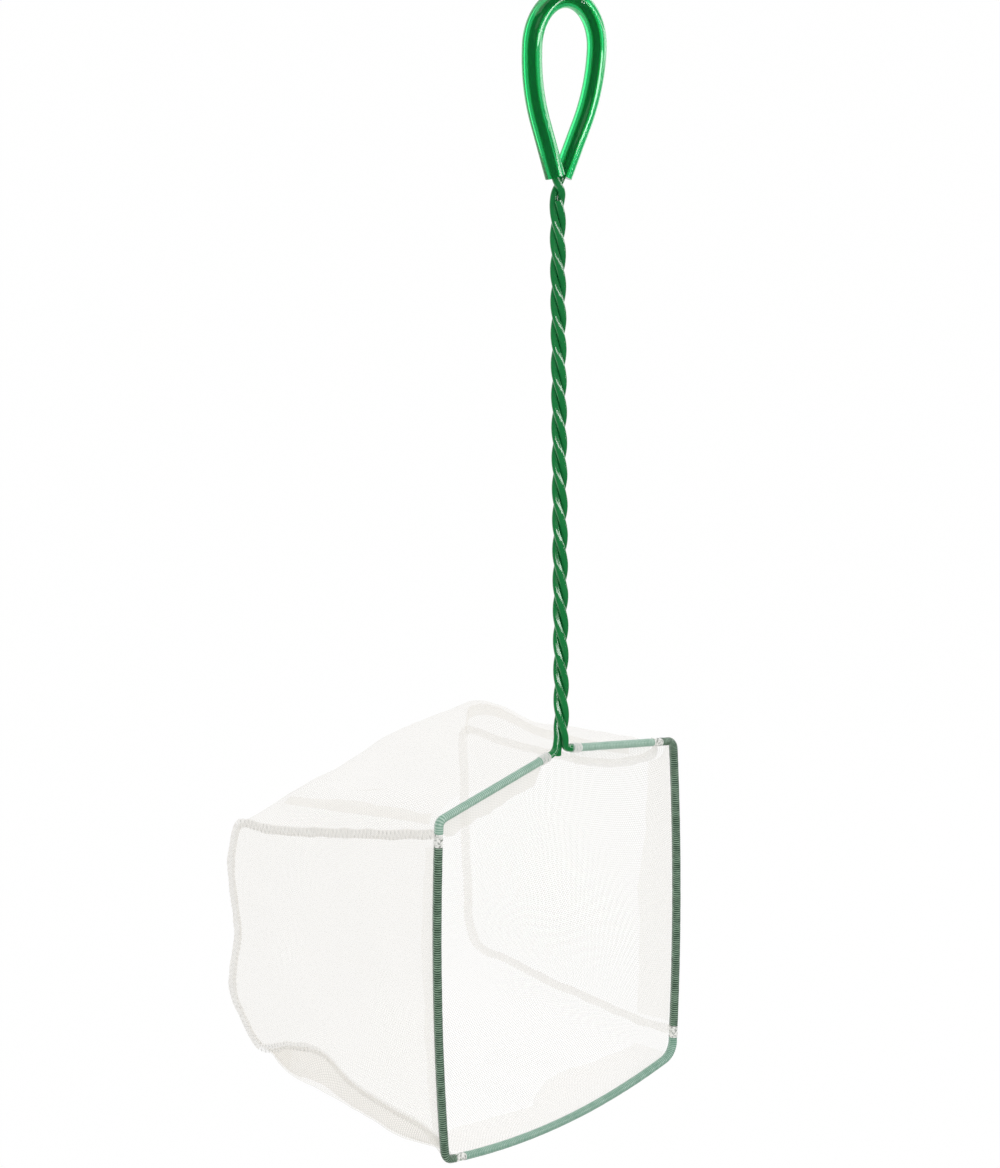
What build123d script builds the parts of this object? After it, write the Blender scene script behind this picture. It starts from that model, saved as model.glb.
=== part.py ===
# Aquarium fish net: one coated wire bent into a square hoop, a twisted stem and a hanging
# loop, with a vinyl grip tube on the loop and a sewn mesh bag on the hoop.
# Millimetres, +Z up the stem. The mouth of the bag faces -Y and the bag runs back along +Y.
# The origin is the hang point: the inside of the loop's crown, on the stem's axis.
import os
from math import cos, pi, radians, sin, sqrt

from build123d import *

# Wire: a galvanised steel core under a green vinyl coat
wire_diameter = 2.6
core_diameter = 1.6

# Grip loop and the vinyl tube that covers it
tube_diameter = 7.0
tube_bore = 3.2
crown_radius = 16.6
shoulder_radius = 58.0
leg_angle = 26.0
leg_drop = 18.3
foot_half_spread = 3.35
foot_stagger = 1.35
loop_lean = 4.8

# Stem: three strands of the same wire, laid left-handed
throat_length = 7.0
twist_length = 192.0
twist_turns = 5.79
strand_gap = 0.1
right_strand_angle = -98.0
tail_extra_turns = 0.17
tail_stub = 3.4
tail_shift = 0.5
tip_short_turns = 0.03

# Hoop
neck_drop = 6.3
neck_left_spread = 6.0
neck_right_spread = 4.0
mouth_width = 127.0
mouth_height = 127.0
neck_rise = 11.5
side_bow = 2.3
bottom_bow = 6.5
upper_left_bend = 3.0
lower_left_bend = 4.0
lower_right_bend = 6.5
upper_right_bend = 4.0

# Hem sleeves on the hoop, the gathered seam ends between them and the neck bindings
sleeve_wall = 0.3
sleeve_clearance = 0.15
seam_end_wall = 0.6
seam_end_length = 4.5
seam_end_offset = 0.5
upper_right_seam_end_offset = 4.0
hem_inset = 1.0
thread_diameter = 0.35
thread_pitch = 0.85
thread_clearance = 0.1
binding_turns = 6
binding_inset = 0.8

# Sewn bag: its depth at half height, how its back leans out and swells, and where the back
# lies across
cloth = 0.5
cloth_gap = 0.3
bag_depth = 100.0
rear_overhang = 8.0
rear_taper = 3.0
rear_shift = 2.5
rear_swell = 5.0
rear_swell_right = 2.0
neck_notch_depth = 5.0

# Seams of the bag below the hoop's upper corners and above its lower ones, front and rear
left_top_drops = (5.0, 23.7)
right_top_drops = (10.0, 15.3)
left_bottom_lifts = (10.0, 17.0)
right_bottom_lifts = (9.6, 21.3)

# Soft folds of the strip at mid-depth and at the back: the share of the way from the left side
# to the right one, and how far down from the hoop's upper corners or up from its lower ones
fold_depth = 62.0
left_top_fold = (0.015, 6.5)
middle_top_fold = (0.577, 4.6)
right_top_fold = (1.0, 4.5)
rear_left_top_fold = (0.184, 18.7)
rear_middle_top_fold = (0.665, 8.1)
rear_right_top_fold = (1.0, 5.5)
left_bottom_fold = (0.007, 9.0)
middle_bottom_fold = (0.484, 3.3)
right_bottom_fold = (0.986, 10.5)
rear_left_bottom_fold = (0.017, 15.0)
rear_middle_bottom_fold = (0.488, 14.3)
rear_right_bottom_fold = (0.975, 17.7)

# Overlocked seams
seam_width = 3.5
seam_thickness = 0.8
seam_clearance = 0.6

# Levels and places that follow from the sizes above
shoulder_x = crown_radius - shoulder_radius * (1 - cos(radians(leg_angle)))
shoulder_height = throat_length + leg_drop
crown_height = shoulder_height + shoulder_radius * sin(radians(leg_angle))
crown_shift = crown_height * sin(radians(loop_lean))
crown_bore = crown_radius - tube_diameter / 2
twist_top = -crown_height * cos(radians(loop_lean)) - sqrt(crown_bore**2 - crown_shift**2)
twist_bottom = twist_top - twist_length
neck_level = twist_bottom - neck_drop
upper_level = neck_level - neck_rise
lower_level = upper_level - mouth_height
middle_level = upper_level - mouth_height / 2
half_mouth = mouth_width / 2
rear_left = rear_taper - half_mouth - rear_shift
rear_right = half_mouth - rear_taper - rear_shift
top_slope = neck_rise / half_mouth
lay_radius = (wire_diameter + strand_gap) / sqrt(3)
twist_pitch = twist_length / twist_turns
sleeve_bore = wire_diameter + 2 * sleeve_clearance
sleeve_diameter = sleeve_bore + 2 * sleeve_wall
seam_end_diameter = sleeve_bore + 2 * seam_end_wall
binding_radius = (sleeve_diameter + thread_diameter) / 2 + thread_clearance

os.makedirs("parts", exist_ok=True)


def keep(piece, name):
    """Label a finished piece and write it under its own name."""
    piece.part.label = name
    export_step(piece.part, f"parts/{name}.step")


def biarc(start, start_way, end, end_way):
    """Add two arcs to the open line, tangent to both ways and to each other."""
    chord = end - start
    turn = 1 - start_way.dot(end_way)
    along = chord.dot(start_way + end_way)
    reach = (sqrt(along**2 + 2 * turn * chord.dot(chord)) - along) / (2 * turn)
    start_corner = start + start_way * reach
    end_corner = end - end_way * reach
    join = (start_corner + end_corner) / 2
    TangentArc(start, join, tangent=start_way)
    TangentArc(join, end, tangent=end_corner - start_corner)


class Winding:
    """A left-hand helix about a plane's normal: where it is, and its way, after some turns."""

    def __init__(self, plane, radius, pitch, start_angle):
        self.plane = plane
        self.radius = radius
        self.pitch = pitch
        self.start_angle = start_angle

    def point(self, turns):
        angle = self.start_angle - 2 * pi * turns
        across = self.plane.x_dir * cos(angle) + self.plane.y_dir * sin(angle)
        return self.plane.origin + across * self.radius + self.plane.z_dir * (self.pitch * turns)

    def way(self, turns):
        angle = self.start_angle - 2 * pi * turns
        across = self.plane.x_dir * sin(angle) - self.plane.y_dir * cos(angle)
        return (across * (2 * pi * self.radius) + self.plane.z_dir * self.pitch).normalized()

    def draw(self, first, last):
        """Add the helix to the open line, as a pair of arcs for about each quarter turn."""
        quarters = max(1, round(4 * abs(last - first)))
        step = (last - first) / quarters
        sign = 1 if step > 0 else -1
        for k in range(quarters):
            low = first + k * step
            high = low + step
            biarc(self.point(low), self.way(low) * sign, self.point(high), self.way(high) * sign)


# The wire is one length: from a cut end below the grip tube down the stem, round the hoop, up
# the stem, round the loop, and down the stem again to a cut end at the neck.
stem = Plane(origin=(0, 0, twist_bottom))
strand_angles = [radians(right_strand_angle) + 2 * pi * k / 3 for k in range(3)]
right_strand, tail_strand, left_strand = [
    Winding(stem, lay_radius, twist_pitch, angle) for angle in strand_angles
]
bar_way = Vector(1, 0, -top_slope).normalized()
neck_left = Vector(-neck_left_spread, 0, neck_level - neck_left_spread * top_slope)
neck_right = Vector(neck_right_spread, 0, neck_level - neck_right_spread * top_slope)

# The loop leans to the right, and its left foot lies in front of its right one
loop_up = Vector(sin(radians(loop_lean)), 0, cos(radians(loop_lean)))
loop_across = Vector(loop_up.Z, 0, -loop_up.X)


def on_loop(across, back, height):
    """A point of the loop, from its height above the twist along the leaning loop."""
    return Vector(0, 0, twist_top) + loop_across * across + Vector(0, back, 0) + loop_up * height


left_foot = on_loop(-foot_half_spread, -foot_stagger, throat_length)
right_foot = on_loop(foot_half_spread, foot_stagger, throat_length)
left_shoulder = on_loop(-shoulder_x, 0, shoulder_height)
right_shoulder = on_loop(shoulder_x, 0, shoulder_height)
leg_rise = loop_up * cos(radians(leg_angle))
leg_out = loop_across * sin(radians(leg_angle))


def foot_way(foot, shoulder, shoulder_way):
    """The way up a leg at its foot, for an arc that ends at the shoulder in the given way."""
    chord = (shoulder - foot).normalized()
    return chord * (2 * chord.dot(shoulder_way)) - shoulder_way


left_foot_way = foot_way(left_foot, left_shoulder, leg_rise - leg_out)
right_foot_way = foot_way(right_foot, right_shoulder, leg_rise + leg_out)

corner_bends = {
    (-half_mouth, upper_level): upper_left_bend,
    (-half_mouth, lower_level): lower_left_bend,
    (half_mouth, lower_level): lower_right_bend,
    (half_mouth, upper_level): upper_right_bend,
}
with BuildLine(Plane.XZ) as hoop_line:
    corner_points = list(corner_bends)
    Line((neck_left.X, neck_left.Z), corner_points[0])
    ThreePointArc(corner_points[0], (-half_mouth - side_bow, middle_level), corner_points[1])
    ThreePointArc(corner_points[1], (0, lower_level - bottom_bow), corner_points[2])
    ThreePointArc(corner_points[2], (half_mouth + side_bow, middle_level), corner_points[3])
    Line(corner_points[3], (neck_right.X, neck_right.Z))
    for (x, z), bend in corner_bends.items():
        fillet(hoop_line.vertices().sort_by_distance((x, 0, z))[0], bend)
hoop_edges = hoop_line.wire().order_edges()


def left_run():
    """The first strand, from its cut end below the loop down the stem."""
    left_strand.draw(twist_turns - tip_short_turns, 0)


def hoop_run():
    """The two bends at the neck and the hoop between them."""
    biarc(left_strand.point(0), -left_strand.way(0), neck_left, Vector(-bar_way.X, 0, bar_way.Z))
    add(hoop_edges)
    biarc(neck_right, Vector(-bar_way.X, 0, -bar_way.Z), right_strand.point(0), right_strand.way(0))


def right_run():
    """The second strand, from the hoop's right half up the stem."""
    right_strand.draw(0, twist_turns)


def grip_run():
    """The teardrop of the loop, from its left foot over the crown to its right foot."""
    left_spring, right_spring = [on_loop(side * crown_radius, 0, crown_height) for side in (-1, 1)]
    TangentArc(left_foot, left_shoulder, tangent=left_foot_way)
    TangentArc(left_shoulder, left_spring, tangent=leg_rise - leg_out)
    ThreePointArc(left_spring, on_loop(0, 0, crown_height + crown_radius), right_spring)
    TangentArc(right_spring, right_shoulder, tangent=-loop_up)
    TangentArc(right_shoulder, right_foot, tangent=-(leg_rise + leg_out))


def loop_run():
    """From the second strand's top, across to the left foot, round the loop, to the third strand."""
    biarc(right_strand.point(twist_turns), right_strand.way(twist_turns), left_foot, left_foot_way)
    grip_run()
    biarc(right_foot, -right_foot_way, tail_strand.point(twist_turns), -tail_strand.way(twist_turns))


def tail_run():
    """The third strand, down the stem to the cut end at the neck."""
    tail_strand.draw(twist_turns, -tail_extra_turns)
    low_point = tail_strand.point(-tail_extra_turns)
    tip = low_point + Vector(-tail_shift, 0, -tail_stub)
    biarc(low_point, -tail_strand.way(-tail_extra_turns), tip, Vector(0, 0, -1))


wire_runs = {
    "left_strand_coat": left_run,
    "hoop_coat": hoop_run,
    "right_strand_coat": right_run,
    "loop_coat": loop_run,
    "tail_strand_coat": tail_run,
}

with BuildPart() as wire_core:
    with BuildLine() as run:
        for draw in wire_runs.values():
            draw()
    with BuildSketch(run.line ^ 0):
        Circle(core_diameter / 2)
    sweep()
keep(wire_core, "wire_core")
wire_length = run.wire().length
core_share = wire_core.part.volume / (pi * core_diameter**2 / 4 * wire_length)
print(f"wire length {wire_length:.1f}, core volume over section times length {core_share:.4f}")


def sleeve(run_or_edges, outer, inner):
    """A round sleeve of the given outer and inner diameter along a drawn run."""
    with BuildPart() as piece:
        with BuildLine() as line:
            if callable(run_or_edges):
                run_or_edges()
            else:
                add(run_or_edges)
        with BuildSketch(line.line ^ 0):
            Circle(outer / 2)
            Circle(inner / 2, mode=Mode.SUBTRACT)
        sweep()
    return piece


for name, draw in wire_runs.items():
    keep(sleeve(draw, wire_diameter, core_diameter), name)

keep(sleeve(grip_run, tube_diameter, tube_bore), "grip_tube")

# The bag's edge is folded over the hoop as a hem. Each hem starts past one corner of the hoop
# and runs round the next, with the gathered end of a seam between one hem and the next.
bars = hoop_edges[0::2]
bends = hoop_edges[1::2]
seam_end_stop = seam_end_offset + seam_end_length
last_offset = upper_right_seam_end_offset
last_stop = last_offset + seam_end_length


def stretch(edge, start, stop):
    """The part of an edge between two lengths measured from its start."""
    return edge.trim(start / edge.length, stop / edge.length)


hem_runs = {
    "hem_top_left": (bars[0], hem_inset, bends[0], bars[1], seam_end_offset),
    "hem_left": (bars[1], seam_end_stop, bends[1], bars[2], seam_end_offset),
    "hem_bottom": (bars[2], seam_end_stop, bends[2], bars[3], seam_end_offset),
    "hem_right": (bars[3], seam_end_stop, bends[3], bars[4], last_offset),
}
for name, (bar, start, bend, next_bar, stop) in hem_runs.items():
    hem_edges = [stretch(bar, start, bar.length), bend, stretch(next_bar, 0, stop)]
    keep(sleeve(hem_edges, sleeve_diameter, sleeve_bore), name)
last_hem = stretch(bars[4], last_stop, bars[4].length - hem_inset)
keep(sleeve([last_hem], sleeve_diameter, sleeve_bore), "hem_top_right")

seam_ends = {
    "seam_end_top_left": (bars[1], seam_end_offset),
    "seam_end_bottom_left": (bars[2], seam_end_offset),
    "seam_end_bottom_right": (bars[3], seam_end_offset),
    "seam_end_top_right": (bars[4], last_offset),
}
for name, (bar, offset) in seam_ends.items():
    gathered = stretch(bar, offset + cloth_gap, offset + seam_end_length - cloth_gap)
    keep(sleeve([gathered], seam_end_diameter, sleeve_bore), name)

# White thread wound over each hem's end beside the neck
for name, neck, side in (("neck_binding_left", neck_left, -1), ("neck_binding_right", neck_right, 1)):
    out_way = Vector(side * bar_way.X, 0, bar_way.Z)
    first_turn = neck + out_way * (hem_inset + binding_inset)
    wound = Winding(
        Plane(origin=first_turn, x_dir=(0, 1, 0), z_dir=out_way), binding_radius, thread_pitch, 0
    )
    with BuildPart() as binding:
        with BuildLine() as thread:
            thread_ends = [wound.way(0) * thread_diameter, wound.way(binding_turns) * thread_diameter]
            Line(wound.point(0) - thread_ends[0], wound.point(0))
            wound.draw(0, binding_turns)
            Line(wound.point(binding_turns), wound.point(binding_turns) + thread_ends[1])
        with BuildSketch(thread.wire() ^ 0):
            Circle(thread_diameter / 2)
        sweep()
    keep(binding, name)
    samples = [wound.point(k / 24) for k in range(24 * binding_turns + 1)]
    spans = [(a - b).length for i, a in enumerate(samples) for b in samples[i + 12 :]]
    print(f"{name}: least gap between turns {min(spans) - thread_diameter:.2f}")

# The sewn bag: a centre strip folded into top, back and bottom, and a gusset on each side. Its
# front edge lies just behind the hems. The strip turns over the sides of the bag in soft folds
# down to its seams with the gussets, and its back leans out towards the top and swells.
cloth_front = seam_end_diameter / 2 + cloth_gap
inset = cloth + cloth_gap
rear_lean = Vector(0, rear_overhang, mouth_height).normalized()
front_plane = Plane.XZ.offset(-cloth_front)
fold_plane = Plane.XZ.offset(-fold_depth)
rear_plane = Plane(
    origin=(0, bag_depth, middle_level),
    x_dir=(1, 0, 0),
    z_dir=Vector(1, 0, 0).cross(rear_lean),
)


def on_rear(point):
    """A point across and up, as the rear plane measures it."""
    return (point[0], (point[1] - middle_level) / rear_lean.Z)


def rear_depth(level):
    """How far back the rear plane is at a level."""
    return bag_depth + (level - middle_level) * rear_overhang / mouth_height


# Each seam runs straight from its front end to its rear end
seam_lines = {
    "left_top": [(x, upper_level - d) for x, d in zip((-half_mouth, rear_left), left_top_drops)],
    "right_top": [(x, upper_level - d) for x, d in zip((half_mouth, rear_right), right_top_drops)],
    "left_bottom": [(x, lower_level + d) for x, d in zip((-half_mouth, rear_left), left_bottom_lifts)],
    "right_bottom": [(x, lower_level + d) for x, d in zip((half_mouth, rear_right), right_bottom_lifts)],
}


def seam_at(name, depth):
    """Where a seam is across and up at a depth."""
    (front_x, front_level), (rear_x, rear_level) = seam_lines[name]
    share = (depth - cloth_front) / (rear_depth(rear_level) - cloth_front)
    return (front_x + (rear_x - front_x) * share, front_level + (rear_level - front_level) * share)


def fold_at(fold, depth, corner_level, way):
    """Where a fold of the strip is across and up at a depth, above or below the hoop's corners."""
    share = (depth - cloth_front) / (bag_depth - cloth_front)
    left_x = rear_left * share - half_mouth * (1 - share)
    right_x = rear_right * share + half_mouth * (1 - share)
    return (left_x + (right_x - left_x) * fold[0], corner_level + way * fold[1])


def shifted(point, rise):
    """A point moved up."""
    return (point[0], point[1] + rise)


def both_faces(points):
    """Pairs of outer and inner points of a cloth section that runs clockwise round the bag."""
    outer = [Vector(*point) for point in points]
    ways = [(b - a).normalized() for a, b in zip(outer, outer[1:])]
    inward = [Vector(way.Y, -way.X) for way in ways]
    pairs = []
    for point, before, after in zip(outer, inward[:1] + inward, inward + inward[-1:]):
        mitre = (before + after) / (1 + before.dot(after))
        pairs.append((point, point + mitre * cloth))
    return pairs


def strip_section(pairs):
    """Draw one strip between two pairs of points, or arched through a third pair between them."""
    outer = [pair[0] for pair in pairs]
    inner = [pair[1] for pair in reversed(pairs)]
    draw = ThreePointArc if len(pairs) == 3 else Line
    draw(*outer)
    Line(outer[-1], inner[0])
    draw(*inner)
    Line(inner[-1], outer[0])


def cloth_strips(stations, strips):
    """Cloth from station to station in strips, each strip a range of the section's points."""
    with BuildPart() as piece:
        for (near, near_points), (far, far_points) in zip(stations, stations[1:]):
            for first, last in strips:
                for plane, points in ((near, near_points), (far, far_points)):
                    with BuildSketch(plane):
                        with BuildLine():
                            strip_section(both_faces(points)[first : last + 1])
                        make_face()
                loft(ruled=True)
    return piece


half_gap = cloth_gap / 2
top_front = [
    shifted(seam_lines["left_top"][0], half_gap),
    (-half_mouth, upper_level),
    (0, neck_level),
    (half_mouth, upper_level),
    shifted(seam_lines["right_top"][0], half_gap),
]
top_middle = [
    shifted(seam_at("left_top", fold_depth), half_gap),
    fold_at(left_top_fold, fold_depth, upper_level, -1),
    fold_at(middle_top_fold, fold_depth, upper_level, -1),
    fold_at(right_top_fold, fold_depth, upper_level, -1),
    shifted(seam_at("right_top", fold_depth), half_gap),
]
top_rear = [
    shifted(seam_lines["left_top"][1], half_gap + cloth),
    fold_at(rear_left_top_fold, bag_depth, upper_level, -1),
    fold_at(rear_middle_top_fold, bag_depth, upper_level, -1),
    fold_at(rear_right_top_fold, bag_depth, upper_level, -1),
    shifted(seam_lines["right_top"][1], half_gap),
]
top_stations = [
    (front_plane, top_front),
    (fold_plane, top_middle),
    (rear_plane, [on_rear(point) for point in top_rear]),
]
with BuildPart() as top_panel:
    add(cloth_strips(top_stations, [(0, 1), (1, 2), (2, 3), (3, 4)]).part)
    with Locations((0, cloth_front, neck_level)):
        Box(2 * neck_left_spread, 2 * neck_notch_depth, 2 * neck_rise, mode=Mode.SUBTRACT)
keep(top_panel, "top_panel")

bottom_front = [
    shifted(seam_lines["right_bottom"][0], -half_gap),
    (half_mouth, lower_level),
    (0, lower_level - bottom_bow),
    (-half_mouth, lower_level),
    shifted(seam_lines["left_bottom"][0], -half_gap),
]
bottom_middle = [
    shifted(seam_at("right_bottom", fold_depth), -half_gap),
    fold_at(right_bottom_fold, fold_depth, lower_level, 1),
    fold_at(middle_bottom_fold, fold_depth, lower_level, 1),
    fold_at(left_bottom_fold, fold_depth, lower_level, 1),
    shifted(seam_at("left_bottom", fold_depth), -half_gap),
]
bottom_rear = [
    shifted(seam_lines["right_bottom"][1], -half_gap),
    fold_at(rear_right_bottom_fold, bag_depth, lower_level, 1),
    fold_at(rear_middle_bottom_fold, bag_depth, lower_level, 1),
    fold_at(rear_left_bottom_fold, bag_depth, lower_level, 1),
    shifted(seam_lines["left_bottom"][1], -half_gap - cloth),
]
bottom_stations = [
    (front_plane, bottom_front),
    (fold_plane, bottom_middle),
    (rear_plane, [on_rear(point) for point in bottom_rear]),
]
keep(cloth_strips(bottom_stations, [(0, 1), (1, 3), (3, 4)]), "bottom_panel")


def between(points, x):
    """The level at x of a line through points that run across."""
    for (x0, level0), (x1, level1) in zip(points, points[1:]):
        if x <= x1:
            break
    return level0 + (level1 - level0) * (x - x0) / (x1 - x0)


back_left = rear_left + inset
back_right = rear_right - inset
back_tops = top_rear[:4]
back_bottoms = [
    (back_left, bottom_rear[4][1]),
    bottom_rear[3],
    bottom_rear[2],
    bottom_rear[1],
    (back_right, bottom_rear[0][1]),
]
swells = [(back_left, rear_swell), (top_rear[2][0], rear_swell), (back_right, rear_swell_right)]


def back_section(x, near, far):
    """Draw the back's upright section at x, between two distances behind its swollen outer face."""
    ends = [between(back_tops, x) - inset, between(back_bottoms, x) + inset]
    depths = [rear_depth(level) for level in ends]
    swell_point = (sum(depths) / 2 + between(swells, x), sum(ends) / 2)
    face = [(depths[0], ends[0]), swell_point, (depths[1], ends[1])]
    outer = [(depth + far, level) for depth, level in face]
    inner = [(depth + near, level) for depth, level in reversed(face)]
    ThreePointArc(*outer)
    Line(outer[-1], inner[0])
    ThreePointArc(*inner)
    Line(inner[-1], outer[0])


def back_cloth(places, near, far):
    """Cloth along the back, lofted across through its sections at the given places."""
    with BuildPart() as piece:
        for x in places:
            with BuildSketch(Plane.YZ.offset(x)):
                with BuildLine():
                    back_section(x, near, far)
                make_face()
        loft(ruled=True)
    return piece


# The back hangs inside the rear edges of the other panels, free to be pushed in to the mouth,
# and the seams up its sides lie on its outside
back_places = [
    back_left,
    top_rear[1][0],
    top_rear[2][0],
    bottom_rear[1][0],
    back_right,
]
keep(back_cloth(back_places, -cloth, 0), "back_panel")
seam_faces = (cloth_gap, cloth_gap + seam_thickness)
keep(back_cloth([back_left, back_left + seam_width], *seam_faces), "rear_left_seam")
keep(back_cloth([back_right - seam_width, back_right], *seam_faces), "rear_right_seam")

# A gusset fills each side between its two seams and ends behind at the swell of the back
gusset_reach = bag_depth + rear_overhang + rear_swell
gusset_swells = {"left": (-1, rear_swell), "right": (1, rear_swell_right)}
for side_name, (side, swell) in gusset_swells.items():
    upper = f"{side_name}_top"
    lower = f"{side_name}_bottom"
    with BuildPart() as gusset:
        for depth, bow in ((cloth_front, side_bow), (gusset_reach, 0.1)):
            top = shifted(seam_at(upper, depth), -half_gap)
            bottom = shifted(seam_at(lower, depth), half_gap)
            bowed = ((top[0] + bottom[0]) / 2 + side * bow, (top[1] + bottom[1]) / 2)
            outer = [top, bowed, bottom]
            inner = [(x - side * cloth, level) for x, level in reversed(outer)]
            with BuildSketch(Plane.XZ.offset(-depth)):
                with BuildLine():
                    ThreePointArc(*outer)
                    Line(outer[-1], inner[0])
                    ThreePointArc(*inner)
                    Line(inner[-1], outer[0])
                make_face()
        loft(ruled=True)
        with BuildSketch(Plane.YZ):
            with BuildLine():
                ends = [seam_lines[upper][1][1], seam_lines[lower][1][1]]
                depths = [rear_depth(level) for level in ends]
                ThreePointArc(
                    (depths[0], ends[0]), (sum(depths) / 2 + swell, sum(ends) / 2), (depths[1], ends[1])
                )
                Polyline(
                    (depths[1], ends[1]),
                    (depths[1], lower_level),
                    (0, lower_level),
                    (0, upper_level),
                    (depths[0], upper_level),
                    (depths[0], ends[0]),
                )
            make_face()
        extrude(amount=mouth_width, both=True, mode=Mode.INTERSECT)
    keep(gusset, f"{side_name}_gusset")

# Overlocked seam allowances along the top and bottom of each gusset, on its outside
for name, (front_end, rear_end) in seam_lines.items():
    side = -1 if name.startswith("left") else 1
    stand_off = side * (seam_clearance + seam_thickness / 2)
    with BuildPart() as seam:
        for plane, (x, level) in ((front_plane, front_end), (rear_plane, on_rear(rear_end))):
            with BuildSketch(plane):
                with Locations((x + stand_off, level)):
                    Rectangle(seam_thickness, seam_width)
        loft(ruled=True)
    keep(seam, f"{name}_seam")
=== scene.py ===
import math

import bmesh
import bpy
import numpy as np
from mathutils import Matrix, Vector, noise


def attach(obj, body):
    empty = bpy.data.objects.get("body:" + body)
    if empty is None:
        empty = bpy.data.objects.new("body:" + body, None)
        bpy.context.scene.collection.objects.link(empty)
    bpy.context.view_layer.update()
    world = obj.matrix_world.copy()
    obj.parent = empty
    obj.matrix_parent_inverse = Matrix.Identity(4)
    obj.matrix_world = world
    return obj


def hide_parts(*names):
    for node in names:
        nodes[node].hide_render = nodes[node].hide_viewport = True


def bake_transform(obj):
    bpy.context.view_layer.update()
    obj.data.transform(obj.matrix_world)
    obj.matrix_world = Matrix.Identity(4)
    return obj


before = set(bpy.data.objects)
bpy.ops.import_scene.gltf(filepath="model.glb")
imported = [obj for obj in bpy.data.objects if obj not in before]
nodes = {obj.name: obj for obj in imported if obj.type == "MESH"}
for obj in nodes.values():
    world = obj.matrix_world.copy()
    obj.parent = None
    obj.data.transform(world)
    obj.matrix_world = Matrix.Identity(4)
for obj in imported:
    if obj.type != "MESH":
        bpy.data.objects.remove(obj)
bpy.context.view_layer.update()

# Coated wire: one length of steel wire dipped in green vinyl, bent into the loop, twisted into
# the three-strand stem and bent again into the square hoop. The skin is smooth and glossy, a
# little uneven in tone where the coat is thin, and scuffed dull in places.
MM = 0.001
COLOUR_A, COLOUR_B, COLOUR_OUT = 6, 7, 2  # a Mix node's sockets for colours


def linear(hex_colour):
    """An sRGB hex colour as linear RGBA."""
    parts = [int(hex_colour[i : i + 2], 16) / 255 for i in (1, 3, 5)]
    return [c / 12.92 if c <= 0.04045 else ((c + 0.055) / 1.055) ** 2.4 for c in parts] + [1.0]


def material(name):
    """A new material with no nodes in it."""
    made = bpy.data.materials.new(name)
    made.use_nodes = True
    made.node_tree.nodes.clear()
    return made


def add(owner, kind, values=(), links=(), **settings):
    """Add one node to a material: its settings, then its socket values, then its links."""
    made = owner.node_tree.nodes.new(kind)
    for name, value in settings.items():
        setattr(made, name, value)
    for socket, value in dict(values).items():
        made.inputs[socket].default_value = value
    for socket, source in dict(links).items():
        owner.node_tree.links.new(source, made.inputs[socket])
    return made


def dress(name, finish):
    """Give a CAD node its material."""
    nodes[name].data.materials.clear()
    nodes[name].data.materials.append(finish)


# PVC plastisol, dipped and fused: IOR 1.53, a clean gloss with faint orange-peel waves
vinyl = material("dipped_green_vinyl")
vinyl_place = add(vinyl, "ShaderNodeTexCoord").outputs["Object"]
vinyl_mottle = add(
    vinyl,
    "ShaderNodeTexNoise",
    {"Scale": 1 / (14 * MM), "Detail": 4.0, "Roughness": 0.6},
    {"Vector": vinyl_place},
)
vinyl_tone = add(
    vinyl,
    "ShaderNodeMix",
    {COLOUR_A: linear("#15743a"), COLOUR_B: linear("#248848")},
    {"Factor": vinyl_mottle.outputs[0]},
    data_type="RGBA",
)
vinyl_scuff = add(
    vinyl, "ShaderNodeTexNoise", {"Scale": 1 / (2.2 * MM), "Detail": 3.0}, {"Vector": vinyl_place}
)
vinyl_dull = add(
    vinyl,
    "ShaderNodeMapRange",
    {"From Min": 0.35, "From Max": 0.75, "To Min": 0.08, "To Max": 0.2},
    {"Value": vinyl_scuff.outputs[0]},
)
vinyl_peel = add(
    vinyl, "ShaderNodeBump", {"Strength": 0.12, "Distance": 0.08 * MM}, {"Height": vinyl_scuff.outputs[0]}
)
vinyl_skin = add(
    vinyl,
    "ShaderNodeBsdfPrincipled",
    {"IOR": 1.53},
    {
        "Base Color": vinyl_tone.outputs[COLOUR_OUT],
        "Roughness": vinyl_dull.outputs[0],
        "Normal": vinyl_peel.outputs[0],
    },
)
add(vinyl, "ShaderNodeOutputMaterial", links={"Surface": vinyl_skin.outputs[0]})
for name in ("tail_strand_coat", "loop_coat", "left_strand_coat", "hoop_coat", "right_strand_coat"):
    dress(name, vinyl)

# Steel core: the drawn and galvanised wire that the vinyl coats. It is bare only on the two sheared
# ends, where it shows as a dull grey spot.
steel = material("galvanised_steel")
steel_place = add(steel, "ShaderNodeTexCoord").outputs["Object"]
steel_grain = add(
    steel, "ShaderNodeTexNoise", {"Scale": 1 / (0.3 * MM), "Detail": 3.0}, {"Vector": steel_place}
)
steel_shade = add(
    steel,
    "ShaderNodeMix",
    {COLOUR_A: linear("#8d9093"), COLOUR_B: linear("#b9bcbe")},
    {"Factor": steel_grain.outputs[0]},
    data_type="RGBA",
)
steel_shear = add(
    steel, "ShaderNodeBump", {"Strength": 0.3, "Distance": 0.05 * MM}, {"Height": steel_grain.outputs[0]}
)
steel_face = add(
    steel,
    "ShaderNodeBsdfPrincipled",
    {"Metallic": 1.0, "Roughness": 0.42},
    {"Base Color": steel_shade.outputs[COLOUR_OUT], "Normal": steel_shear.outputs[0]},
)
add(steel, "ShaderNodeOutputMaterial", links={"Surface": steel_face.outputs[0]})
dress("wire_core", steel)

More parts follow.
